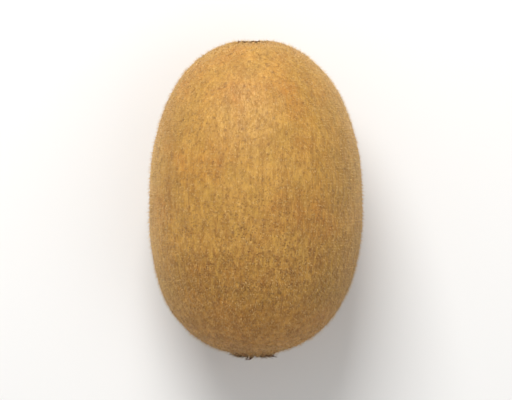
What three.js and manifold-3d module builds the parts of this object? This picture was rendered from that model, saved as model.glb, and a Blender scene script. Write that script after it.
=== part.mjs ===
// Golden kiwi fruit, whole, lying on its side on a small flat spot.
// Millimetres, +Z up. The fruit's long axis runs along Y: the blossom end, with its dried styles, is at -Y
// and the stem end, with the scar of the stalk, is at +Y. The origin is on the surface that the fruit
// rests on, under the middle of its box.

import * as THREE from "three";
import { mergeVertices } from "three/addons/utils/BufferGeometryUtils.js";
import Module from "manifold-3d";

// The oval
const LENGTH = 74.2; // shoulder to shoulder, before the ends are dished
const WIDTH = 50.2; // side to side, as the fruit lies
const THICKNESS = 48.6; // bottom to top, before the flat spot
const FULLNESS = 2.3; // exponent of the side outline, where 2 is an ellipse and more is blunter
const WIDEST_AT = -0.05; // place of the widest ring, as a share of the half length from the middle
const BOW = 0.7; // how far the middle of the fruit leans towards +X
const SHOULDER_SLANT = 0.018; // rise of the stem end's shoulder for each millimetre across
const FLAT_DEPTH = 0.55; // taken off the belly by its own weight

// Faint swellings round the fruit: waves in a turn, height as a share of the radius, phase, twist end to end
const SWELLINGS = [
  { waves: 2, height: 0.007, phase: 0.4, twist: 0.5 },
  { waves: 3, height: 0.009, phase: 2.1, twist: -0.7 },
  { waves: 5, height: 0.004, phase: 0.9, twist: 1.1 },
];

// The stem end: a shallow basin with the corky scar of the stalk, and the rags of five sepals
const BASIN = { depth: 0.7, radius: 2.5 };
const SCAR = { radius: 2.2, rim: 0.42, height: 0.52, dish: 0.34, sunk: 0.8 };
const SCAR_VEINS = { radius: 0.5, height: 0.15 };
const SEPAL = { count: 5, root: 2, shortest: 1.7, longest: 2.9, width: 2.8, thickness: 0.62, lift: 0.1 };

// The blossom end: a raised collar of skin round an eye, with the dried styles of the flower
const COLLAR = { radius: 3.6, width: 1.5, height: 0.7 };
const EYE = { depth: 0.6, radius: 1.9 };
const CRUST = { radius: 2.1, height: 0.5, sunk: 0.6, lumps: 5, lumpHeight: 0.13 };
const STYLES = { count: 30, radius: 0.38, shortest: 1.5, longest: 3.3, inner: 0.5, outer: 2.4, sunk: 0.6 };
const STYLE_LEAN = { root: 0.75, tip: 1.72, spread: 0.35 }; // from the fruit's axis, in radians

// Fineness of the mesh
const ROWS = 58;
const ROWS_NEAR_ENDS = 0.5; // 0 spreads the rows evenly, 1 crowds them at the ends
const COLUMNS = 64;
const MERGE_DISTANCE = 1e-4;
const SEED = 20;

const SKIN_COLOUR = 0xb48a4e;

const wasm = await Module();
wasm.setup();

// Draws numbers from low to high, the same ones on every run.
function drawer(seed) {
  let state = seed;
  return (low, high) => {
    state = (state * 1664525 + 1013904223) % 4294967296;
    return low + ((high - low) * state) / 4294967296;
  };
}

// A closed geometry as a solid that can be joined and cut.
function solidOf(geometry) {
  const bare = geometry.clone();
  bare.deleteAttribute("normal");
  bare.deleteAttribute("uv");
  const merged = mergeVertices(bare, MERGE_DISTANCE);
  return new wasm.Manifold(
    new wasm.Mesh({
      numProp: 3,
      vertProperties: merged.getAttribute("position").array,
      triVerts: new Uint32Array(merged.index.array),
    }),
  );
}

// A solid as a geometry, with smooth shading left to the viewer.
function geometryOf(solid) {
  const mesh = solid.getMesh();
  const geometry = new THREE.BufferGeometry();
  geometry.setAttribute("position", new THREE.BufferAttribute(mesh.vertProperties, mesh.numProp));
  geometry.setIndex(new THREE.BufferAttribute(mesh.triVerts, 1));
  return geometry;
}

// Moves every vertex of a geometry as rule says.
function reshape(geometry, rule) {
  const position = geometry.getAttribute("position");
  const point = new THREE.Vector3();
  for (let i = 0; i < position.count; i += 1) {
    rule(point.fromBufferAttribute(position, i));
    position.setXYZ(i, point.x, point.y, point.z);
  }
  return geometry;
}

// The place along the fruit, from -1 at the blossom end to 1 at the stem end, of a place on an even
// outline, which is widest at 0.
function slide(even) {
  return (even + WIDEST_AT) / (1 + WIDEST_AT * even);
}

// A smooth bump of height 1 at zero distance, which fades out past the given reach.
function bump(distance, reach) {
  return Math.exp(-((distance / reach) ** 2));
}

// How far the skin at an end stands out along the axis, past the plain oval, at a distance from the axis.
function endRelief(distance, atStem) {
  if (atStem) return -BASIN.depth * bump(distance, BASIN.radius);
  const collar = COLLAR.height * bump(distance - COLLAR.radius, COLLAR.width);
  return collar - EYE.depth * bump(distance, EYE.radius);
}

// Turns a point of the unit outline, spun about Y, into a point of the skin.
function skin(point) {
  const along = point.y;
  const angle = Math.atan2(point.z, point.x);
  const swell = SWELLINGS.reduce(
    (sum, wave) => sum + wave.height * Math.cos(wave.waves * angle + wave.phase + wave.twist * along),
    1,
  );
  point.x *= (WIDTH / 2) * swell;
  point.z *= (THICKNESS / 2) * swell;
  const relief = endRelief(Math.hypot(point.x, point.z), along > 0);
  point.y = (LENGTH / 2) * along + Math.sign(along) * relief + slant(point.x, along);
  point.x += BOW * (1 - along ** 2);
}

// The stem end's shoulder stands a little higher on one side.
function slant(across, along) {
  return along > 0 ? SHOULDER_SLANT * across * along ** 2 : 0;
}

// The oval body with its dished ends.
function body() {
  const outline = [];
  for (let row = 0; row <= ROWS; row += 1) {
    const share = row / ROWS;
    const turn = Math.PI * share - (ROWS_NEAR_ENDS / 2) * Math.sin(2 * Math.PI * share);
    const radius = Math.abs(Math.sin(turn)) ** (2 / FULLNESS);
    const even = -Math.sign(Math.cos(turn)) * Math.abs(Math.cos(turn)) ** (2 / FULLNESS);
    outline.push(new THREE.Vector2(radius, slide(even)));
  }
  return solidOf(reshape(new THREE.LatheGeometry(outline, COLUMNS), skin));
}

// Height along the axis of the skin near one end, at a place across the fruit.
function endHeight(x, z, atStem) {
  const share = Math.hypot(x / (WIDTH / 2), z / (THICKNESS / 2));
  const even = (1 - share ** FULLNESS) ** (1 / FULLNESS);
  const along = slide(atStem ? even : -even);
  const relief = endRelief(Math.hypot(x, z), atStem);
  return (LENGTH / 2) * along + Math.sign(along) * relief + slant(x, along);
}

// The round scar that the stalk leaves: a corky rim, a dished face and the stub of its veins.
function stemScar() {
  const { radius, rim, height, dish, sunk } = SCAR;
  const face = height - dish;
  const outline = [
    [0, -sunk],
    [radius * 1.12, -sunk],
    [radius * 1.06, height * 0.5],
    [radius - rim * 0.25, height * 0.93],
    [radius - rim * 0.6, height],
    [radius - rim * 1.3, height * 0.86],
    [radius - rim * 2, face],
    [SCAR_VEINS.radius, face],
    [SCAR_VEINS.radius * 0.8, face + SCAR_VEINS.height * 0.9],
    [0, face + SCAR_VEINS.height],
  ].map(([x, y]) => new THREE.Vector2(x, y));
  const ring = new THREE.LatheGeometry(outline, 24);
  const basinFloor = endHeight(0, 0, true);
  return solidOf(ring.translate(0, basinFloor, 0));
}

// One sepal's flat outline: X runs from its root to its torn tip, Y across it.
function sepalOutline(length, width, draw) {
  const shape = new THREE.Shape();
  shape.moveTo(0, -0.4 * width);
  shape.quadraticCurveTo(0.5 * length, -0.64 * width, draw(0.7, 0.85) * length, -0.3 * width);
  for (const across of [-0.15, 0.02, 0.17]) shape.lineTo(draw(0.72, 1) * length, across * width);
  shape.lineTo(draw(0.7, 0.85) * length, 0.31 * width);
  shape.quadraticCurveTo(0.5 * length, 0.64 * width, 0, 0.4 * width);
  return shape;
}

// One dried sepal, lying outwards over the basin's wall with its tip curled up.
function sepal(angle, draw) {
  const length = draw(SEPAL.shortest, SEPAL.longest);
  const width = draw(0.75, 1) * SEPAL.width;
  const tipLift = draw(0.35, 1) * SEPAL.lift;
  const sideways = draw(-0.25, 0.25);
  const blade = new THREE.ExtrudeGeometry(sepalOutline(length, width, draw), {
    depth: SEPAL.thickness,
    bevelEnabled: false,
    curveSegments: 5,
  });
  reshape(blade, (point) => {
    const share = point.x / length;
    const outwards = SEPAL.root + point.x;
    const across = sideways * point.x * share - point.y;
    const above = point.z - SEPAL.thickness / 2 + tipLift * share ** 2;
    point.x = outwards * Math.cos(angle) - across * Math.sin(angle);
    point.z = outwards * Math.sin(angle) + across * Math.cos(angle);
    point.y = endHeight(point.x, point.z, true) + above;
  });
  return solidOf(blade);
}

// The hard, knobbly crust in the eye, which the styles stand in.
function eyeCrust() {
  const { radius, height, sunk, lumps, lumpHeight } = CRUST;
  const outline = [
    [0, -sunk],
    [radius * 1.1, -sunk],
    [radius, height * 0.2],
    [radius * 0.7, height * 0.8],
    [radius * 0.3, height * 0.7],
    [0, height],
  ].map(([x, y]) => new THREE.Vector2(x, y));
  const crust = new THREE.LatheGeometry(outline, 2 * lumps);
  const eyeFloor = endHeight(0, 0, false);
  reshape(crust, (point) => {
    const angle = Math.atan2(point.z, point.x);
    const lump = point.y > 0 ? lumpHeight * Math.cos(lumps * angle) * Math.hypot(point.x, point.z) : 0;
    point.z = -point.z;
    point.y = eyeFloor - point.y - lump;
  });
  return solidOf(crust);
}

// One dried style: a tapered bristle that leaves the eye and bends outwards over the collar.
function style(angle, draw) {
  const length = draw(STYLES.shortest, STYLES.longest);
  const root = draw(STYLES.inner, STYLES.outer);
  const rootLean = STYLE_LEAN.root * (root / STYLES.outer) + draw(-0.5, 0.5) * STYLE_LEAN.spread;
  const bend = STYLE_LEAN.tip + draw(-1, 0) * STYLE_LEAN.spread - rootLean;
  const sideways = draw(-0.6, 0.6);
  const rootX = root * Math.cos(angle);
  const rootZ = root * Math.sin(angle);
  const rootHeight = endHeight(rootX, rootZ, false) + STYLES.sunk;
  const bristle = new THREE.ConeGeometry(STYLES.radius, length + STYLES.sunk, 5, 4);
  bristle.translate(0, (length + STYLES.sunk) / 2, 0);
  reshape(bristle, (point) => {
    const share = point.y / (length + STYLES.sunk);
    const lean = rootLean + bend * share;
    const arm = (length + STYLES.sunk) / bend;
    const outwards = root + arm * (Math.cos(rootLean) - Math.cos(lean)) + point.x * Math.cos(lean);
    const forwards = arm * (Math.sin(lean) - Math.sin(rootLean)) - point.x * Math.sin(lean);
    const across = sideways * length * share ** 2 - point.z;
    point.x = outwards * Math.cos(angle) - across * Math.sin(angle);
    point.z = outwards * Math.sin(angle) + across * Math.cos(angle);
    point.y = rootHeight - forwards;
  });
  return solidOf(bristle);
}

// A ring of count pieces, each made at its own angle with a little disorder.
function ringOf(count, disorder, draw, make) {
  return Array.from({ length: count }, (_, k) => {
    const angle = ((k + draw(-disorder, disorder)) * 2 * Math.PI) / count;
    return make(angle, draw);
  });
}

// Everything below the surface that the fruit rests on, which is level with z = 0.
function underSurface() {
  const block = new THREE.BoxGeometry(2 * WIDTH, 2 * LENGTH, THICKNESS);
  return solidOf(block.translate(0, 0, -THICKNESS / 2));
}

// The whole fruit in one piece, set down on its flat spot with its box centred on the origin.
function kiwiFruit() {
  const draw = drawer(SEED);
  const pieces = [
    stemScar(),
    eyeCrust(),
    ...ringOf(SEPAL.count, 0.18, draw, sepal),
    ...ringOf(STYLES.count, 0.45, draw, style),
  ];
  const whole = pieces.reduce((joined, piece) => joined.add(piece), body());
  const belly = whole.boundingBox().min[2];
  const rested = whole.translate([0, 0, -belly - FLAT_DEPTH]).subtract(underSurface());
  const { min, max } = rested.boundingBox();
  return rested.translate([-(min[0] + max[0]) / 2, -(min[1] + max[1]) / 2, 0]);
}

const fruit = new THREE.Mesh(
  geometryOf(kiwiFruit()),
  new THREE.MeshStandardMaterial({ color: SKIN_COLOUR, roughness: 0.62, metalness: 0 }),
);
fruit.name = "kiwi_fruit";

const part = new THREE.Group();
part.add(fruit);

export default part;
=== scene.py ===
import math
import random

import bmesh
import bpy
from mathutils import Matrix, Vector, noise


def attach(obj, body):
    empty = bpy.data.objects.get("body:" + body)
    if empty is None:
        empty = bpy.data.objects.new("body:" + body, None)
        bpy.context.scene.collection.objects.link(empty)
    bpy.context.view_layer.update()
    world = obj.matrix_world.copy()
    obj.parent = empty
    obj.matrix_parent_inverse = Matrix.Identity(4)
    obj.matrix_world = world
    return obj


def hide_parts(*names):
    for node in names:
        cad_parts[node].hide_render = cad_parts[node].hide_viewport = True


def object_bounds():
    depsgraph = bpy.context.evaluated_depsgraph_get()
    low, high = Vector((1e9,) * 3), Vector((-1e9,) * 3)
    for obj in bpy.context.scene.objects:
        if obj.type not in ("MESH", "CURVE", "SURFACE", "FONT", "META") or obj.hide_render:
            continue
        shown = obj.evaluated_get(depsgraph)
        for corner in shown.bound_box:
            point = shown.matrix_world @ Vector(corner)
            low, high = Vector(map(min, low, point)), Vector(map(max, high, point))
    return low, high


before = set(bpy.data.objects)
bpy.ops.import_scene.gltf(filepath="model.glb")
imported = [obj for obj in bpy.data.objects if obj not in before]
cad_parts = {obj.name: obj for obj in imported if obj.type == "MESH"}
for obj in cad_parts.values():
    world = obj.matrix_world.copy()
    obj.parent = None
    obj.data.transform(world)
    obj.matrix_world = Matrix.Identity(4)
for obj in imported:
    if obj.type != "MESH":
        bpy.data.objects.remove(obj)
cad_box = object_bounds()

MM = 0.001
SEED = 20
NUMBER_DRAW = {"times": 1664525, "plus": 1013904223, "below": 2**32}  # as in the solid

# The oval, with the values of the solid that it stands for
LENGTH = 74.2
WIDTH = 50.2
THICKNESS = 48.6
FULLNESS = 2.3  # exponent of the side outline, where 2 is an ellipse
WIDEST_AT = -0.05  # place of the widest ring, as a share of the half length
BOW = 0.7  # how far the middle leans towards +X
SHOULDER_SLANT = 0.018
OVAL_FORWARD = 0.65  # the styles reach further past the oval than the sepals, so it sits this far to +Y
SWELLINGS = [
    {"waves": 2, "height": 0.007, "phase": 0.4, "twist": 0.5},
    {"waves": 3, "height": 0.009, "phase": 2.1, "twist": -0.7},
    {"waves": 5, "height": 0.004, "phase": 0.9, "twist": 1.1},
]

# The stem end
BASIN = {"depth": 0.7, "radius": 2.5}
SCAR = {"radius": 2.2, "rim": 0.42, "height": 0.52, "dish": 0.34, "sunk": 0.8}
SCAR_VEINS = {"radius": 0.5, "height": 0.15}
SCAR_FIBRES = {"count": 19, "height": 0.2, "waver": 9}
SCAR_CRUMBS = {"size": 0.42, "height": 0.16, "raggedness": 0.8}
SCAR_SIDES = 64
SEPAL = {"count": 5, "root": 2.0, "shortest": 1.7, "longest": 2.9, "width": 2.8, "lift": 0.1}
SEPAL_DISORDER = 0.18
SEPAL_DRAWS = {"width": (0.75, 1), "lift": (0.35, 1), "sideways": (-0.25, 0.25)}  # from and to
SEPAL_WIDTHS = {"root": 0.8, "middle": 1.28, "tip": 0.6}  # shares of the width
SEPAL_TORN = {"sides": (0.7, 0.85), "middle": (0.72, 1)}  # how much of the length is left, from and to
SEPAL_TEETH = {"count": 14, "height": 0.24, "spread": 9}
SEPAL_BLADE = {"thickness": 0.18, "curl": 0.2, "wrinkle": 0.2, "wrinkle_size": 0.6}
SEPAL_RIBS = {"count": 5, "height": 0.05}
SEPAL_GRID = {"x_segments": 18, "y_segments": 24}

# The blossom end
COLLAR = {"radius": 3.6, "width": 1.5, "height": 0.7}
EYE = {"depth": 0.6, "radius": 1.9}
CRUST = {"radius": 2.2, "height": 0.7, "sunk": 0.6}
CRUST_CRUMBS = {"size": 0.5, "height": 0.4}
CRUST_SIDES = 48
STYLES = {"count": 30, "shortest": 1.5, "longest": 3.3, "inner": 0.5, "outer": 2.4, "sunk": 0.6}
STYLE_LEAN = {"root": 0.75, "tip": 1.72, "spread": 0.35}  # from the fruit's axis, in radians
STYLE_DISORDER = 0.45
STAMENS = {"count": 150, "shortest": 0.9, "longest": 2.8, "inner": 1.2, "outer": 3.3}
STAMEN_LEAN = {"root": (0.6, 1.1), "tip": (1.5, 1.95)}  # from the fruit's axis, in radians, from and to
STYLE_WIRE = {"radius": 0.23, "wobble": 0.3, "sideways": 0.6}
STAMEN_WIRE = {"radius": 0.075, "wobble": 0.6, "sideways": 1}
WIRE_POINTS = 9
WIRE_TAPER = 0.75
WIRE_WAVES = 0.9  # wobbles in a millimetre

# Fineness of the skin's mesh
SKIN_ROWS = 270
SKIN_COLUMNS = 350
ROWS_NEAR_ENDS = 0.5

# Faint relief of the skin
DIMPLES = {"size": 9.0, "height": 0.2}
PORES = {"size": 1.3, "height": 0.05}
RIDGES = {"width": 1.5, "length": 8.0, "height": 0.05}
PUCKERS = {"count": 17, "height": 0.16, "at": 4.6, "reach": 2.4, "waver": 5}

# The skin gets coarser from the stem end to the blossom end, and then weathered, between these places
COARSER = {"from": 26.0, "to": -26.0, "least": 0.45, "gain": 1.25}
WEATHERED = {"from": -20.0, "to": -35.0}

# The down: short bent hairs that lean towards the blossom end
HAIR = {"radius": 0.034, "shortest": 0.22, "longest": 1.15, "bend": 0.3, "sunk": 0.02}
HAIR_LEAN = {"forwards": 0.6, "disorder": 0.55, "least_rise": 0.35, "lift": 0.6}
HAIR_ZONES = {"fuzz_blossom_end": (-40, -16), "fuzz_middle": (-16, 16), "fuzz_stem_end": (16, 40)}
HAIRS_IN_ZONE = 19500
LEAST_WEIGHT = 1e-3  # of a corner of the face that a hair stands on, so that their sum is never 0
HAIR_CLEARANCE = 1.3  # no hair grows lower than this above the surface that the fruit rests on

# The view: straight down on the fruit, with the stem end at the top of the picture
VIEW_DIRECTION = Vector((-0.041, 0.030, 1.0)).normalized()
CAMERA_DISTANCE = 0.9
FRUIT_SHARE_OF_FRAME = 0.82
SENSOR_WIDTH = 36.0
FRAME_SHAPE = 512 / 400

# The studio, in metres and watts
KEY_LAMP = {"direction": (-0.3, 1.1, 1.0), "distance": 0.7, "size": 0.4, "power": 5.5}
FILL_LAMP = {"direction": (0.6, -0.2, 1.0), "distance": 0.8, "size": 0.6, "power": 0.8}
SKY_STRENGTH = 0.47
FLOOR_REACH = 2.5
FLOOR_GAP = 0.0002


def drawer(seed):
    """Draws numbers from low to high, the same ones as the solid does."""
    state = seed

    def draw(low, high):
        nonlocal state
        state = (state * NUMBER_DRAW["times"] + NUMBER_DRAW["plus"]) % NUMBER_DRAW["below"]
        return low + (high - low) * state / NUMBER_DRAW["below"]

    return draw


def slide(even):
    """The place along the fruit of a place on an even outline, which is widest at 0."""
    return (even + WIDEST_AT) / (1 + WIDEST_AT * even)


def bump(distance, reach):
    """A smooth bump of height 1 at zero distance."""
    return math.exp(-((distance / reach) ** 2))


def end_relief(distance, at_stem):
    """How far the skin at an end stands out along the axis, past the plain oval."""
    if at_stem:
        return -BASIN["depth"] * bump(distance, BASIN["radius"])
    collar = COLLAR["height"] * bump(distance - COLLAR["radius"], COLLAR["width"])
    return collar - EYE["depth"] * bump(distance, EYE["radius"])


def axis_height(x, z, along):
    """Height along the axis of the skin at a place along the fruit and across it."""
    side = 1 if along > 0 else -1
    slant = SHOULDER_SLANT * x * along**2 if along > 0 else 0
    return LENGTH / 2 * along + side * end_relief(math.hypot(x, z), along > 0) + slant


def skin_point(unit):
    """The point of the skin for a point of the unit outline, spun about Y."""
    along = unit.y
    angle = math.atan2(unit.z, unit.x)
    swell = 1
    for wave in SWELLINGS:
        swell += wave["height"] * math.cos(wave["waves"] * angle + wave["phase"] + wave["twist"] * along)
    x = unit.x * WIDTH / 2 * swell
    z = unit.z * THICKNESS / 2 * swell
    return Vector((x + BOW * (1 - along**2), axis_height(x, z, along), z))


def end_height(x, z, at_stem):
    """Height along the axis of the skin near one end, at a place across the fruit."""
    share = math.hypot(x / (WIDTH / 2), z / (THICKNESS / 2))
    even = (1 - share**FULLNESS) ** (1 / FULLNESS)
    return axis_height(x, z, slide(even if at_stem else -even))


def outline_point(share):
    """A point of the unit outline, from the blossom end at share 0 to the stem end at share 1."""
    turn = math.pi * share - ROWS_NEAR_ENDS / 2 * math.sin(2 * math.pi * share)
    radius = abs(math.sin(turn)) ** (2 / FULLNESS)
    even = -math.copysign(abs(math.cos(turn)) ** (2 / FULLNESS), math.cos(turn))
    return Vector((radius, slide(even), 0))


def spun(points, steps):
    """A closed shape made by spinning a chain of points about Y."""
    bm = bmesh.new()
    chain = [bm.verts.new(point) for point in points]
    edges = [bm.edges.new(pair) for pair in zip(chain, chain[1:])]
    turn = {"axis": (0, 1, 0), "cent": (0, 0, 0), "angle": 2 * math.pi}
    bmesh.ops.spin(bm, geom=chain + edges, steps=steps, use_merge=True, **turn)
    bmesh.ops.remove_doubles(bm, verts=bm.verts, dist=1e-6)
    bmesh.ops.recalc_face_normals(bm, faces=bm.faces)
    return bm


def baked(rough):
    """The shape of an object with its modifiers and bevel applied. The object is removed."""
    seen = rough.evaluated_get(bpy.context.evaluated_depsgraph_get())
    mesh = bpy.data.meshes.new_from_object(seen)
    bm = bmesh.new()
    bm.from_mesh(mesh)
    bpy.data.meshes.remove(mesh)
    bpy.data.objects.remove(rough)
    return bm


def subdivided(bm, levels):
    """The shape with a subdivision surface applied."""
    mesh = bpy.data.meshes.new("rough")
    bm.to_mesh(mesh)
    bm.free()
    rough = bpy.data.objects.new("rough", mesh)
    bpy.context.scene.collection.objects.link(rough)
    smooth = rough.modifiers.new("smooth", "SUBSURF")
    smooth.levels = levels
    smooth.render_levels = levels
    return baked(rough)


def skin_relief(point):
    """How far the dimples, pores, lengthwise ridges and the puckers round the ends push the skin out."""
    unevenness = noise.noise(point / DIMPLES["size"])
    dimples = DIMPLES["height"] * unevenness
    pores = PORES["height"] * noise.noise(point / PORES["size"])
    squeezed = Vector((point.x, point.y * RIDGES["width"] / RIDGES["length"], point.z)) / RIDGES["width"]
    ridges = RIDGES["height"] * noise.noise(squeezed)
    angle = math.atan2(point.z, point.x)
    fold = math.cos(PUCKERS["count"] * angle + PUCKERS["waver"] * unevenness)
    near_end = bump(math.hypot(point.x, point.z) - PUCKERS["at"], PUCKERS["reach"])
    return dimples + pores + ridges + PUCKERS["height"] * fold * near_end


def fruit_skin():
    """The oval with its dished ends, still without its faint relief."""
    bm = spun([outline_point(row / SKIN_ROWS) for row in range(SKIN_ROWS + 1)], SKIN_COLUMNS)
    for vertex in bm.verts:
        vertex.co = skin_point(vertex.co)
    bmesh.ops.recalc_face_normals(bm, faces=bm.faces)
    return bm


def own_place(bm):
    """Where the fruit's own origin lies in the part's frame, in millimetres."""
    sides = [vertex.co.x for vertex in bm.verts]
    top = max(vertex.co.z for vertex in bm.verts)
    return Vector((-(min(sides) + max(sides)) / 2, OVAL_FORWARD, cad_box[1].z / MM - top))


def roughened(bm, floor_height):
    """Gives the skin its faint relief, and presses it flat where it rests."""
    bm.normal_update()
    pushes = [skin_relief(vertex.co) for vertex in bm.verts]
    for vertex, push in zip(bm.verts, pushes):
        vertex.co += push * vertex.normal
        vertex.co.z = max(vertex.co.z, floor_height)
    bm.verts.index_update()


def stem_scar():
    """The corky scar of the stalk: a crumbly rim, a fibrous dished face and the stub of its veins."""
    radius, rim, height = SCAR["radius"], SCAR["rim"], SCAR["height"]
    face = height - SCAR["dish"]
    vein = SCAR_VEINS["radius"]
    outline = [
        (0, -SCAR["sunk"]),
        (radius * 1.12, -SCAR["sunk"]),
        (radius * 1.06, height * 0.5),
        (radius - rim * 0.25, height * 0.93),
        (radius - rim * 0.6, height),
        (radius - rim * 1.3, height * 0.86),
        (radius - rim * 2, face),
        (vein, face),
        (vein * 0.8, face + SCAR_VEINS["height"] * 0.9),
        (0, face + SCAR_VEINS["height"]),
    ]
    bm = subdivided(spun([(x, y, 0) for x, y in outline], SCAR_SIDES), 2)
    basin_floor = end_height(0, 0, True)
    for vertex in bm.verts:
        point = vertex.co.copy()
        across = math.hypot(point.x, point.z)
        angle = math.atan2(point.z, point.x)
        crumbs = SCAR_CRUMBS["height"] * noise.noise(point / SCAR_CRUMBS["size"])
        turn = SCAR_FIBRES["count"] * angle + SCAR_FIBRES["waver"] * crumbs
        fibres = SCAR_FIBRES["height"] * math.cos(turn)
        share = min(across / radius, 1)
        ragged = 1 + SCAR_CRUMBS["raggedness"] * crumbs * share
        vertex.co.x *= ragged
        vertex.co.z *= ragged
        vertex.co.y += basin_floor + crumbs + fibres * share * (1 - share)
    bmesh.ops.recalc_face_normals(bm, faces=bm.faces)
    return bm


def between(values, share):
    """The value at a share from 0 to 1 of the way through evenly spaced values."""
    place = min(max(share, 0), 1) * (len(values) - 1)
    left = min(int(place), len(values) - 2)
    return values[left] + (values[left + 1] - values[left]) * (place - left)


def thicken(bm, thickness):
    """Makes an open sheet a closed shape of even thickness."""
    bm.normal_update()
    copied = bmesh.ops.extrude_face_region(bm, geom=bm.faces[:], use_keep_orig=True)["geom"]
    for item in copied:
        if isinstance(item, bmesh.types.BMVert):
            item.co -= thickness * item.normal
    bmesh.ops.recalc_face_normals(bm, faces=bm.faces)


def sepal_width(share):
    """Width of a sepal, as a share of its full width, at a share of the way to its tip."""
    left = 1 - share
    middle = 2 * SEPAL_WIDTHS["middle"] * share * left
    return SEPAL_WIDTHS["root"] * left**2 + middle + SEPAL_WIDTHS["tip"] * share**2


def sepal_relief(x, z, side, share):
    """How far a sepal's wrinkles, ribs and curled edges raise it from the skin."""
    wrinkle = SEPAL_BLADE["wrinkle"] * noise.noise(Vector((x, 3, z)) / SEPAL_BLADE["wrinkle_size"])
    ribs = SEPAL_RIBS["height"] * math.cos(2 * math.pi * SEPAL_RIBS["count"] * side)
    curl = SEPAL_BLADE["curl"] * (2 * side) ** 4 * share
    return SEPAL_BLADE["thickness"] / 2 + wrinkle + ribs + curl


def sepal(angle, draw):
    """One dried sepal: a thin torn blade that lies outwards over the basin's wall."""
    length = draw(SEPAL["shortest"], SEPAL["longest"])
    width = draw(*SEPAL_DRAWS["width"]) * SEPAL["width"]
    lift = draw(*SEPAL_DRAWS["lift"]) * SEPAL["lift"]
    sideways = draw(*SEPAL_DRAWS["sideways"])
    first_side = draw(*SEPAL_TORN["sides"])
    middle = [draw(*SEPAL_TORN["middle"]) for _ in range(3)]
    reaches = [first_side, *middle, draw(*SEPAL_TORN["sides"])]
    bm = bmesh.new()
    bmesh.ops.create_grid(bm, size=0.5, **SEPAL_GRID)
    for vertex in bm.verts:
        share = vertex.co.x + 0.5
        side = vertex.co.y
        place = Vector((side * SEPAL_TEETH["count"], angle * SEPAL_TEETH["spread"], 0))
        tooth = SEPAL_TEETH["height"] * noise.noise(place)
        out = share * length * (between(reaches, side + 0.5) + tooth * share)
        across = sideways * out * share - side * width * sepal_width(share)
        reach = SEPAL["root"] + out
        x = reach * math.cos(angle) - across * math.sin(angle)
        z = reach * math.sin(angle) + across * math.cos(angle)
        above = sepal_relief(x, z, side, share) + lift * share**2
        vertex.co = Vector((x, end_height(x, z, True) + above, z))
    thicken(bm, SEPAL_BLADE["thickness"])
    return subdivided(bm, 1)


def eye_crust():
    """The hard, crumbly crust in the eye, which the styles stand in."""
    radius, height = CRUST["radius"], CRUST["height"]
    outline = [
        (0, -CRUST["sunk"]),
        (radius * 1.1, -CRUST["sunk"]),
        (radius, height * 0.2),
        (radius * 0.7, height * 0.8),
        (radius * 0.3, height * 0.7),
        (0, height),
    ]
    bm = subdivided(spun([(x, y, 0) for x, y in outline], CRUST_SIDES), 2)
    eye_floor = end_height(0, 0, False)
    for vertex in bm.verts:
        crumbs = CRUST_CRUMBS["height"] * noise.noise(vertex.co / CRUST_CRUMBS["size"])
        vertex.co.y = eye_floor - vertex.co.y - crumbs
    bmesh.ops.recalc_face_normals(bm, faces=bm.faces)
    return bm


def wires(paths, radius):
    """Thin tapered wires along paths, each a list of points from its root to its tip."""
    curve = bpy.data.curves.new("wires", "CURVE")
    curve.dimensions = "3D"
    curve.bevel_depth = radius
    curve.bevel_resolution = 1
    curve.use_fill_caps = True
    for path in paths:
        spline = curve.splines.new("POLY")
        spline.points.add(len(path) - 1)
        for place, (point, knot) in enumerate(zip(path, spline.points)):
            knot.co = (*point, 1)
            knot.radius = 1 - WIRE_TAPER * place / (len(path) - 1)
    rough = bpy.data.objects.new("wires", curve)
    bpy.context.scene.collection.objects.link(rough)
    bm = baked(rough)
    bmesh.ops.remove_doubles(bm, verts=bm.verts, dist=1e-4)
    return bm


def bent_path(angle, root, length, root_lean, tip_lean, sideways, wobble):
    """The path of a dried thread that leaves the eye and bends outwards over the collar."""
    bend = tip_lean - root_lean
    whole = length + STYLES["sunk"]
    arm = whole / bend
    root_height = end_height(root * math.cos(angle), root * math.sin(angle), False) + STYLES["sunk"]
    path = []
    for step in range(WIRE_POINTS):
        share = step / (WIRE_POINTS - 1)
        lean = root_lean + bend * share
        outwards = root + arm * (math.cos(root_lean) - math.cos(lean))
        forwards = arm * (math.sin(lean) - math.sin(root_lean))
        across = sideways * length * share**2
        point = Vector((
            outwards * math.cos(angle) - across * math.sin(angle),
            root_height - forwards,
            outwards * math.sin(angle) + across * math.cos(angle),
        ))
        path.append(point + wobble * share * noise.noise_vector(point * WIRE_WAVES))
    return path


def style_path(angle, draw):
    """The path of one dried style, with the draws in the solid's order."""
    length = draw(STYLES["shortest"], STYLES["longest"])
    root = draw(STYLES["inner"], STYLES["outer"])
    root_lean = STYLE_LEAN["root"] * root / STYLES["outer"] + draw(-0.5, 0.5) * STYLE_LEAN["spread"]
    tip_lean = STYLE_LEAN["tip"] + draw(-1, 0) * STYLE_LEAN["spread"]
    sideways = draw(-STYLE_WIRE["sideways"], STYLE_WIRE["sideways"])
    return bent_path(angle, root, length, root_lean, tip_lean, sideways, STYLE_WIRE["wobble"])


def stamen_path(draw):
    """The path of one withered stamen, a finer thread that lies close to the collar."""
    length = draw(STAMENS["shortest"], STAMENS["longest"])
    root = draw(STAMENS["inner"], STAMENS["outer"])
    root_lean = draw(*STAMEN_LEAN["root"])
    tip_lean = draw(*STAMEN_LEAN["tip"])
    angle = draw(0, 2 * math.pi)
    sideways = draw(-STAMEN_WIRE["sideways"], STAMEN_WIRE["sideways"])
    return bent_path(angle, root, length, root_lean, tip_lean, sideways, STAMEN_WIRE["wobble"])


def ring_of(count, disorder, draw, make):
    """What make gives for a ring of angles, each with a little disorder."""
    made = []
    for k in range(count):
        angle = (k + draw(-disorder, disorder)) * 2 * math.pi / count
        made.append(make(angle, draw))
    return made


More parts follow.
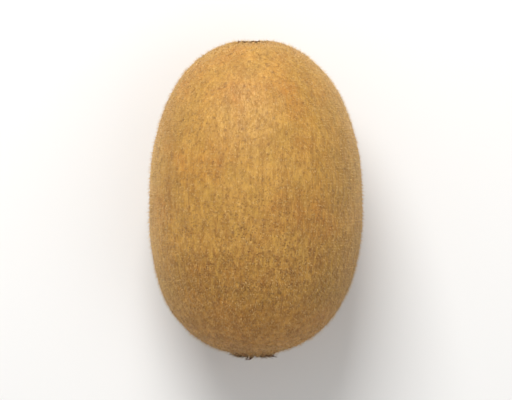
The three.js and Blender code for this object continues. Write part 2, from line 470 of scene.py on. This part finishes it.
def gathered(parts):
    """Several shapes as one."""
    whole = bmesh.new()
    for part in parts:
        mesh = bpy.data.meshes.new("part")
        part.to_mesh(mesh)
        part.free()
        whole.from_mesh(mesh)
        bpy.data.meshes.remove(mesh)
    return whole


def hair_shape():
    """One hair, 1 mm tall, bent towards +X."""
    bm = bmesh.new()
    bmesh.ops.create_cone(bm, segments=3, radius1=HAIR["radius"], radius2=0, depth=1, cap_ends=True)
    bmesh.ops.translate(bm, verts=bm.verts, vec=(0, 0, 0.5))
    everything = bm.verts[:] + bm.edges[:] + bm.faces[:]
    bmesh.ops.bisect_plane(bm, geom=everything, plane_co=(0, 0, 0.5), plane_no=(0, 0, 1))
    for vertex in bm.verts:
        vertex.co.x += HAIR["bend"] * vertex.co.z**2
    mesh = bpy.data.meshes.new("hair")
    bm.to_mesh(mesh)
    bm.free()
    return mesh


def corners_of(face):
    """The corners of a face, in an order that is the same on every run."""
    return sorted(face.verts, key=lambda vertex: vertex.index)


def hair_stance(face, draw):
    """Where one hair stands on a face of the skin, and how it leans, turns and how long it is."""
    corners = corners_of(face)
    weights = [draw.random() + LEAST_WEIGHT for _ in corners]
    root = sum((corner.co * weight for corner, weight in zip(corners, weights)), Vector()) / sum(weights)
    astray = Vector([draw.uniform(-1, 1) for _ in range(3)]) * HAIR_LEAN["disorder"]
    direction = face.normal + HAIR_LEAN["forwards"] * Vector((0, -1, 0)) + astray
    if direction.dot(face.normal) < HAIR_LEAN["least_rise"]:
        direction += HAIR_LEAN["lift"] * face.normal
    length = HAIR["shortest"] + (HAIR["longest"] - HAIR["shortest"]) * draw.random() ** 2
    turn = direction.to_track_quat("Z", "X").to_matrix().to_4x4()
    spin = Matrix.Rotation(draw.uniform(0, 2 * math.pi), 4, "Z")
    size = Matrix.Diagonal((1, 1, length, 1))
    return Matrix.Translation(root - HAIR["sunk"] * face.normal) @ turn @ spin @ size


def fuzz(skin, zone, floor_height, draw):
    """The down on one stretch of the skin."""
    low, high = zone
    lowest = floor_height + HAIR_CLEARANCE
    centres = ((face, face.calc_center_median()) for face in skin.faces)
    faces = [face for face, centre in centres if low <= centre.y < high and centre.z > lowest]
    faces.sort(key=lambda face: [corner.index for corner in corners_of(face)])
    areas = [face.calc_area() for face in faces]
    shape = hair_shape()
    whole = bmesh.new()
    for face in draw.choices(faces, weights=areas, k=HAIRS_IN_ZONE):
        hair = shape.copy()
        hair.transform(hair_stance(face, draw))
        whole.from_mesh(hair, face_normals=False, vertex_normals=False)
        bpy.data.meshes.remove(hair)
    bpy.data.meshes.remove(shape)
    return whole


def colour(red, green, blue):
    """A colour given in screen values from 0 to 255, as the shader takes it."""
    def linear(value):
        share = value / 255
        return share / 12.92 if share <= 0.04045 else ((share + 0.055) / 1.055) ** 2.4
    return (linear(red), linear(green), linear(blue), 1.0)


# The skin's colours
GOLD = colour(196, 147, 64)
AMBER = colour(185, 123, 46)
OLIVE_GOLD = colour(165, 129, 54)
PALE_GOLD = colour(218, 171, 88)
PORE_CREAM = colour(226, 188, 124)
STREAK_BROWN = colour(146, 100, 44)
MOTTLE_BROWN = colour(134, 87, 38)
FINE_BROWN = colour(142, 98, 48)
SPECK_BROWN = colour(116, 74, 34)
FRECKLE_BROWN = colour(104, 68, 34)
RUST = colour(204, 128, 58)
RUBBED_GOLD = colour(222, 166, 84)
STAIN_BROWN = colour(130, 80, 30)
RING_BROWN = colour(118, 72, 34)
BLOSSOM_BROWN = colour(88, 56, 29)
STEM_BROWN = colour(120, 84, 46)
VELVET_GOLD = colour(248, 213, 150)

# The down's colours
HAIR_GOLD = colour(242, 208, 142)
HAIR_BROWN = colour(162, 115, 56)

# The scar's colours
CORK_TAN = colour(162, 124, 78)
CORK_BROWN = colour(112, 78, 46)
FACE_BROWN = colour(92, 63, 39)
VEIN_TAN = colour(150, 116, 78)
CORK_SPECK = colour(66, 43, 26)

# The dried flower's colours, each from a light to a dark one
SEPAL_TONES = (colour(146, 100, 52), colour(78, 48, 24))
STYLE_TONES = (colour(128, 88, 52), colour(50, 32, 20))
CRUST_TONES = (colour(112, 78, 48), colour(50, 33, 21))

FLOOR_WHITE = colour(236, 235, 233)
SKY_WHITE = colour(255, 255, 255)

# How deep the bumps of the finishes are, in millimetres, with the shares of the skin's streaks and grain
SKIN_BUMPS = {"depth": 0.05, "streaks": 0.6, "grain": 1.5}
CORK_BUMPS = 0.1
DRIED_BUMPS = 0.05

# Shares that the specks and freckles never fall below, of their full density and size
LEAST_SPECKS = 0.5
SMALLEST_FRECKLE = 0.35

# How fine the wobble of an edge is, and how far it reaches
FRECKLE_EDGE = {"fineness": 2.3, "reach": 0.5}
END_ZONE_EDGE = {"fineness": 0.7, "reach": 2.5}

# What a Mix node's colour sockets are numbered
MIX_LOWER = 6
MIX_UPPER = 7
MIX_RESULT = 2


def add(tree, kind, inputs=None, **options):
    """Adds a shader node with its options. Its inputs take values or the outputs of other nodes."""
    made = tree.nodes.new("ShaderNode" + kind)
    for option, value in options.items():
        setattr(made, option, value)
    for name, value in (inputs or {}).items():
        if isinstance(value, bpy.types.NodeSocket):
            tree.links.new(value, made.inputs[name])
        else:
            made.inputs[name].default_value = value
    return made


def maths(tree, operation, first, second):
    """The result of a sum on two values."""
    return add(tree, "Math", {0: first, 1: second}, operation=operation).outputs[0]


def vector_maths(tree, operation, inputs):
    """The result of a sum on vectors."""
    return add(tree, "VectorMath", inputs, operation=operation).outputs[0]


def stretched_range(tree, value, low, high):
    """The value as a smooth mask, 0 at low and 1 at high."""
    inputs = {"Value": value, "From Min": low, "From Max": high}
    return add(tree, "MapRange", inputs, interpolation_type="SMOOTHSTEP").outputs["Result"]


def new_effect(name, numbers):
    """An empty node group that takes a place in millimetres and some numbers, and gives a mask."""
    group = bpy.data.node_groups.new(name, "ShaderNodeTree")
    group.interface.new_socket("Place", in_out="INPUT", socket_type="NodeSocketVector")
    for label, value in numbers.items():
        socket = group.interface.new_socket(label, in_out="INPUT", socket_type="NodeSocketFloat")
        socket.default_value = value
    group.interface.new_socket("Mask", in_out="OUTPUT", socket_type="NodeSocketFloat")
    return group, group.nodes.new("NodeGroupInput").outputs, group.nodes.new("NodeGroupOutput").inputs


def patches_effect():
    """Broad soft patches."""
    group, given, wanted = new_effect("patches", {"Size": 8.0, "Seed": 0.0})
    scale = maths(group, "DIVIDE", 1.0, given["Size"])
    inputs = {"Vector": given["Place"], "W": given["Seed"], "Scale": scale, "Detail": 3.0}
    cloud = add(group, "TexNoise", inputs, noise_dimensions="4D").outputs["Fac"]
    group.links.new(stretched_range(group, cloud, low=0.4, high=0.62), wanted["Mask"])
    return group


def streaks_effect():
    """Fine streaks along the fruit."""
    group, given, wanted = new_effect("streaks", {"Width": 0.8, "Length": 6.0, "Seed": 0.0})
    across = maths(group, "DIVIDE", 1.0, given["Width"])
    along = maths(group, "DIVIDE", 1.0, given["Length"])
    squeeze = add(group, "CombineXYZ", {"X": across, "Y": along, "Z": across}).outputs[0]
    place = vector_maths(group, "MULTIPLY", {0: given["Place"], 1: squeeze})
    inputs = {"Vector": place, "W": given["Seed"], "Scale": 1.0, "Detail": 4.0}
    cloud = add(group, "TexNoise", inputs, noise_dimensions="4D").outputs["Fac"]
    group.links.new(stretched_range(group, cloud, low=0.38, high=0.66), wanted["Mask"])
    return group


def ragged_place(group, place, spacing, scale):
    """The place, pushed about by a small part of the spacing, which makes the edges of spots ragged."""
    fineness = maths(group, "MULTIPLY", FRECKLE_EDGE["fineness"], scale)
    cloud = add(group, "TexNoise", {"Vector": place, "Scale": fineness, "Detail": 2.0}).outputs["Color"]
    centred = vector_maths(group, "SUBTRACT", {0: cloud, 1: (0.5, 0.5, 0.5)})
    reach = maths(group, "MULTIPLY", FRECKLE_EDGE["reach"], spacing)
    push = vector_maths(group, "SCALE", {0: centred, "Scale": reach})
    return vector_maths(group, "ADD", {0: place, 1: push})


def freckles_effect():
    """Small ragged spots of uneven size."""
    group, given, wanted = new_effect("freckles", {"Spacing": 1.0, "Size": 0.3, "Softness": 0.1})
    scale = maths(group, "DIVIDE", 1.0, given["Spacing"])
    place = ragged_place(group, given["Place"], given["Spacing"], scale)
    cells = add(group, "TexVoronoi", {"Vector": place, "Scale": scale})
    luck = add(group, "SeparateColor", {0: cells.outputs["Color"]}).outputs[0]
    size = maths(group, "MULTIPLY", given["Size"], maths(group, "ADD", luck, SMALLEST_FRECKLE))
    outer = maths(group, "ADD", size, given["Softness"])
    inner = maths(group, "SUBTRACT", size, given["Softness"])
    mask = stretched_range(group, cells.outputs["Distance"], outer, inner)
    group.links.new(mask, wanted["Mask"])
    return group


def end_zone_effect():
    """The round place about the axis at one end: Side is 1 for the stem end and -1 for the blossom end."""
    group, given, wanted = new_effect("end_zone", {"Side": 1.0, "Reach": 6.0, "Softness": 2.0})
    inputs = {"Vector": given["Place"], "Scale": END_ZONE_EDGE["fineness"], "Detail": 3.0}
    cloud = add(group, "TexNoise", inputs).outputs["Fac"]
    parts = add(group, "SeparateXYZ", {0: given["Place"]}).outputs
    across = add(group, "CombineXYZ", {"X": parts["X"], "Z": parts["Z"]}).outputs[0]
    distance = add(group, "VectorMath", {0: across}, operation="LENGTH").outputs["Value"]
    uneven = maths(group, "MULTIPLY", maths(group, "SUBTRACT", cloud, 0.5), given["Softness"])
    wavy = maths(group, "ADD", distance, maths(group, "MULTIPLY", uneven, END_ZONE_EDGE["reach"]))
    outer = maths(group, "ADD", given["Reach"], given["Softness"])
    inner = maths(group, "SUBTRACT", given["Reach"], given["Softness"])
    near = stretched_range(group, wavy, outer, inner)
    this_side = maths(group, "GREATER_THAN", maths(group, "MULTIPLY", parts["Y"], given["Side"]), 0.0)
    group.links.new(maths(group, "MULTIPLY", near, this_side), wanted["Mask"])
    return group


EFFECTS = {
    "patches": patches_effect(),
    "streaks": streaks_effect(),
    "freckles": freckles_effect(),
    "end_zone": end_zone_effect(),
}


def mask_of(tree, effect, place, **numbers):
    """The mask that a shared effect gives at a place."""
    used = add(tree, "Group", node_tree=EFFECTS[effect])
    tree.links.new(place, used.inputs["Place"])
    for label, value in numbers.items():
        used.inputs[label].default_value = value
    return used.outputs["Mask"]


def tinted(tree, base, tint, mask, strength):
    """The base colour, turned towards a tint where the mask is."""
    mix = add(tree, "Mix", data_type="RGBA")
    tree.links.new(maths(tree, "MULTIPLY", mask, strength), mix.inputs["Factor"])
    for socket, value in ((MIX_LOWER, base), (MIX_UPPER, tint)):
        if isinstance(value, bpy.types.NodeSocket):
            tree.links.new(value, mix.inputs[socket])
        else:
            mix.inputs[socket].default_value = value
    return mix.outputs[MIX_RESULT]


def bare_material(name, own_origin):
    """A new material, its shader, and the place on the fruit in millimetres from the middle of the oval."""
    material = bpy.data.materials.new(name)
    material.use_nodes = True
    tree = material.node_tree
    surface = tree.nodes["Principled BSDF"]
    coordinates = add(tree, "TexCoord").outputs["Object"]
    scale = (1 / MM, 1 / MM, 1 / MM)
    mapping = add(tree, "Mapping", {"Vector": coordinates, "Location": -own_origin, "Scale": scale})
    return material, tree, surface, mapping.outputs["Vector"]


def raised(tree, surface, height, depth):
    """Gives the surface the bumps of a mask, as deep as depth in millimetres."""
    bumps = add(tree, "Bump", {"Height": height, "Distance": depth * MM, "Strength": 1.0})
    tree.links.new(bumps.outputs["Normal"], surface.inputs["Normal"])


def golden_ground(tree, place):
    """The golden ground of the skin, with warm and olive patches and broad darker streaks."""
    warm = mask_of(tree, "patches", place, Size=13)
    olive = mask_of(tree, "patches", place, Size=5, Seed=7)
    streaks = mask_of(tree, "streaks", place, Width=1.7, Length=13, Seed=4)
    tone = tinted(tree, GOLD, AMBER, warm, strength=0.75)
    tone = tinted(tree, tone, OLIVE_GOLD, olive, strength=0.45)
    return tinted(tree, tone, STREAK_BROWN, streaks, strength=0.42)


def specks_of(tree, place, coarseness):
    """The dense dark specks of the skin, thicker here and there and towards the blossom end."""
    specks = mask_of(tree, "freckles", place, Spacing=0.5, Size=0.24, Softness=0.3)
    crowded = mask_of(tree, "patches", place, Size=3.5, Seed=9)
    density = maths(tree, "MULTIPLY", maths(tree, "ADD", crowded, LEAST_SPECKS), coarseness)
    return maths(tree, "MULTIPLY", specks, density)


def weathered_end(tree, tone, place, along):
    """The tone of the skin with its redder, rubbed and stained stretch before the blossom end."""
    weather = stretched_range(tree, along, WEATHERED["from"], WEATHERED["to"])
    rubs = maths(tree, "MULTIPLY", mask_of(tree, "patches", place, Size=1.6, Seed=27), weather)
    stains = maths(tree, "MULTIPLY", mask_of(tree, "patches", place, Size=2.0, Seed=21), weather)
    tone = tinted(tree, tone, RUST, weather, strength=0.3)
    tone = tinted(tree, tone, RUBBED_GOLD, rubs, strength=0.55)
    return tinted(tree, tone, STAIN_BROWN, stains, strength=0.42)


def browned_ends(tree, tone, place):
    """The tone of the skin with its dark rings round the dried flower and the scar."""
    wide = mask_of(tree, "end_zone", place, Side=-1, Reach=8, Softness=3)
    blossom = mask_of(tree, "end_zone", place, Side=-1, Reach=4.5, Softness=2)
    stem = mask_of(tree, "end_zone", place, Side=1, Reach=5, Softness=2.5)
    tone = tinted(tree, tone, RING_BROWN, wide, strength=0.45)
    tone = tinted(tree, tone, BLOSSOM_BROWN, blossom, strength=0.8)
    return tinted(tree, tone, STEM_BROWN, stem, strength=0.65)


def skin_material(own_origin):
    """Golden-brown skin: patches, streaks, dense specks, pale pores, browned ends and a faint velvet."""
    material, tree, surface, place = bare_material("kiwi_skin", own_origin)
    along = add(tree, "SeparateXYZ", {0: place}).outputs["Y"]
    towards_blossom = stretched_range(tree, along, COARSER["from"], COARSER["to"])
    gained = maths(tree, "MULTIPLY", towards_blossom, COARSER["gain"])
    coarseness = maths(tree, "ADD", gained, COARSER["least"])
    fine_streaks = mask_of(tree, "streaks", place, Width=0.33, Length=3.2)
    grain = mask_of(tree, "streaks", place, Width=0.75, Length=2.0, Seed=12)
    mottle = maths(tree, "MULTIPLY", grain, coarseness)
    pale_mottle = mask_of(tree, "streaks", place, Width=1.1, Length=2.4, Seed=15)
    specks = specks_of(tree, place, coarseness)
    freckles = mask_of(tree, "freckles", place, Spacing=1.4, Size=0.2, Softness=0.2)
    pale_pores = mask_of(tree, "freckles", place, Spacing=0.8, Size=0.15, Softness=0.2)
    tone = golden_ground(tree, place)
    tone = tinted(tree, tone, MOTTLE_BROWN, mottle, strength=0.42)
    tone = tinted(tree, tone, PALE_GOLD, pale_mottle, strength=0.3)
    tone = tinted(tree, tone, FINE_BROWN, fine_streaks, strength=0.36)
    tone = tinted(tree, tone, SPECK_BROWN, specks, strength=0.5)
    tone = tinted(tree, tone, FRECKLE_BROWN, freckles, strength=0.5)
    tone = tinted(tree, tone, PORE_CREAM, pale_pores, strength=0.45)
    tone = weathered_end(tree, tone, place, along)
    tree.links.new(browned_ends(tree, tone, place), surface.inputs["Base Color"])
    roughness = add(tree, "MapRange", {"Value": fine_streaks, "To Min": 0.48, "To Max": 0.66})
    tree.links.new(roughness.outputs["Result"], surface.inputs["Roughness"])
    streak_height = maths(tree, "MULTIPLY", fine_streaks, SKIN_BUMPS["streaks"])
    grain_height = maths(tree, "MULTIPLY", mottle, SKIN_BUMPS["grain"])
    height = maths(tree, "ADD", maths(tree, "SUBTRACT", streak_height, specks), grain_height)
    raised(tree, surface, height, SKIN_BUMPS["depth"])
    surface.inputs["Sheen Weight"].default_value = 0.5
    surface.inputs["Sheen Roughness"].default_value = 0.32
    surface.inputs["Sheen Tint"].default_value = VELVET_GOLD
    surface.inputs["Specular IOR Level"].default_value = 0.35
    return material


def cork_material(own_origin):
    """Dry cork of the stalk's scar: a pale crumbly rim round a darker face."""
    material, tree, surface, place = bare_material("scar_cork", own_origin)
    grain = mask_of(tree, "patches", place, Size=0.4, Seed=3)
    specks = mask_of(tree, "freckles", place, Spacing=0.3, Size=0.38, Softness=0.2)
    face = mask_of(tree, "end_zone", place, Side=1, Reach=1.55, Softness=0.25)
    veins = mask_of(tree, "end_zone", place, Side=1, Reach=0.55, Softness=0.15)
    tone = tinted(tree, CORK_TAN, CORK_BROWN, grain, strength=0.7)
    tone = tinted(tree, tone, FACE_BROWN, face, strength=0.75)
    tone = tinted(tree, tone, VEIN_TAN, veins, strength=0.7)
    tone = tinted(tree, tone, CORK_SPECK, specks, strength=0.4)
    tree.links.new(tone, surface.inputs["Base Color"])
    surface.inputs["Roughness"].default_value = 0.85
    raised(tree, surface, maths(tree, "SUBTRACT", grain, specks), CORK_BUMPS)
    return material


def dried_material(name, own_origin, tones, roughness):
    """Brittle dried flower parts, from a light to a dark brown."""
    material, tree, surface, place = bare_material(name, own_origin)
    light, dark = tones
    blotches = mask_of(tree, "patches", place, Size=1.1, Seed=5)
    specks = mask_of(tree, "freckles", place, Spacing=0.3, Size=0.4, Softness=0.2)
    tone = tinted(tree, light, dark, blotches, strength=0.9)
    tone = tinted(tree, tone, dark, specks, strength=0.5)
    tree.links.new(tone, surface.inputs["Base Color"])
    surface.inputs["Roughness"].default_value = roughness
    raised(tree, surface, maths(tree, "SUBTRACT", blotches, specks), DRIED_BUMPS)
    return material


def down_material(own_origin):
    """The fine hairs, pale gold here and darker there."""
    material, tree, surface, place = bare_material("down", own_origin)
    dark_hairs = mask_of(tree, "patches", place, Size=0.7, Seed=11)
    tone = tinted(tree, HAIR_GOLD, HAIR_BROWN, dark_hairs, strength=0.7)
    tree.links.new(tone, surface.inputs["Base Color"])
    surface.inputs["Roughness"].default_value = 0.6
    return material


def finished(bm, name, material, own_origin):
    """The shape as a piece in the part's frame, riding on the fruit's body."""
    mesh = bpy.data.meshes.new(name)
    bm.to_mesh(mesh)
    bm.free()
    mesh.transform(Matrix.Scale(MM, 4) @ Matrix.Translation(own_origin))
    mesh.polygons.foreach_set("use_smooth", [True] * len(mesh.polygons))
    mesh.materials.append(material)
    piece = bpy.data.objects.new(name, mesh)
    bpy.context.scene.collection.objects.link(piece)
    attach(piece, "root")
    return piece


def build_fruit():
    """All the pieces of the fruit."""
    skin = fruit_skin()
    own_origin = own_place(skin)
    floor_height = -own_origin.z
    roughened(skin, floor_height)
    down = down_material(own_origin)
    hair_draw = random.Random(SEED)
    for name, zone in HAIR_ZONES.items():
        finished(fuzz(skin, zone, floor_height, hair_draw), name, down, own_origin)
    draw = drawer(SEED)
    sepals = gathered(ring_of(SEPAL["count"], SEPAL_DISORDER, draw, sepal))
    styles = wires(ring_of(STYLES["count"], STYLE_DISORDER, draw, style_path), STYLE_WIRE["radius"])
    stamens = wires([stamen_path(draw) for _ in range(STAMENS["count"])], STAMEN_WIRE["radius"])
    wiry = dried_material("dried_styles", own_origin, STYLE_TONES, roughness=0.7)
    papery = dried_material("dried_sepals", own_origin, SEPAL_TONES, roughness=0.8)
    crusty = dried_material("dried_crust", own_origin, CRUST_TONES, roughness=0.85)
    standing_for_the_solid = [
        finished(skin, "skin", skin_material(own_origin), own_origin),
        finished(stem_scar(), "stem_scar", cork_material(own_origin), own_origin),
        finished(sepals, "sepals", papery, own_origin),
        finished(eye_crust(), "eye_crust", crusty, own_origin),
        finished(styles, "styles", wiry, own_origin),
        finished(stamens, "stamens", wiry, own_origin),
    ]
    for piece in standing_for_the_solid:
        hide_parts("kiwi_fruit")


def lay_floor():
    """A plain pale floor just under the fruit."""
    bm = bmesh.new()
    bmesh.ops.create_grid(bm, x_segments=1, y_segments=1, size=FLOOR_REACH)
    mesh = bpy.data.meshes.new("floor")
    bm.to_mesh(mesh)
    bm.free()
    material = bpy.data.materials.new("pale_floor")
    material.use_nodes = True
    surface = material.node_tree.nodes["Principled BSDF"]
    surface.inputs["Base Color"].default_value = FLOOR_WHITE
    surface.inputs["Roughness"].default_value = 0.9
    surface.inputs["Specular IOR Level"].default_value = 0.1
    mesh.materials.append(material)
    floor = bpy.data.objects.new("floor", mesh)
    floor.location.z = -FLOOR_GAP
    bpy.context.scene.collection.objects.link(floor)


def aimed(thing, place, target):
    """Puts a lamp or camera at a place and turns it to its target, with +Y up in its view."""
    backwards = (place - target).normalized()
    right = Vector((0, 1, 0)).cross(backwards).normalized()
    upwards = backwards.cross(right)
    turn = Matrix((right, upwards, backwards)).transposed().to_4x4()
    thing.matrix_world = Matrix.Translation(place) @ turn
    bpy.context.scene.collection.objects.link(thing)


def add_lamp(name, kind, target):
    """A soft square lamp."""
    lamp = bpy.data.lights.new(name, "AREA")
    lamp.size = kind["size"]
    lamp.energy = kind["power"]
    place = target + Vector(kind["direction"]).normalized() * kind["distance"]
    aimed(bpy.data.objects.new(name, lamp), place, target)


def light_and_view():
    """Soft studio light from the top of the picture, and a camera that looks straight down."""
    low, high = cad_box
    middle = (low + high) / 2
    add_lamp("key", KEY_LAMP, middle)
    add_lamp("fill", FILL_LAMP, middle)
    world = bpy.data.worlds.new("studio")
    bpy.context.scene.world = world
    world.use_nodes = True
    sky = world.node_tree.nodes["Background"].inputs
    sky["Color"].default_value = SKY_WHITE
    sky["Strength"].default_value = SKY_STRENGTH
    bpy.context.scene.view_settings.view_transform = "Standard"
    view = bpy.data.cameras.new("camera")
    frame_height = (high.y - low.y) / FRUIT_SHARE_OF_FRAME
    view.sensor_width = SENSOR_WIDTH
    view.lens = SENSOR_WIDTH / FRAME_SHAPE * (CAMERA_DISTANCE - middle.z) / frame_height
    view.clip_start = 0.01
    camera = bpy.data.objects.new("camera", view)
    aimed(camera, middle + VIEW_DIRECTION * CAMERA_DISTANCE, middle)
    bpy.context.scene.camera = camera


noise.seed_set(SEED)  # without a seed, the wobble of the styles and stamens changes with the clock
build_fruit()
lay_floor()
light_and_view()
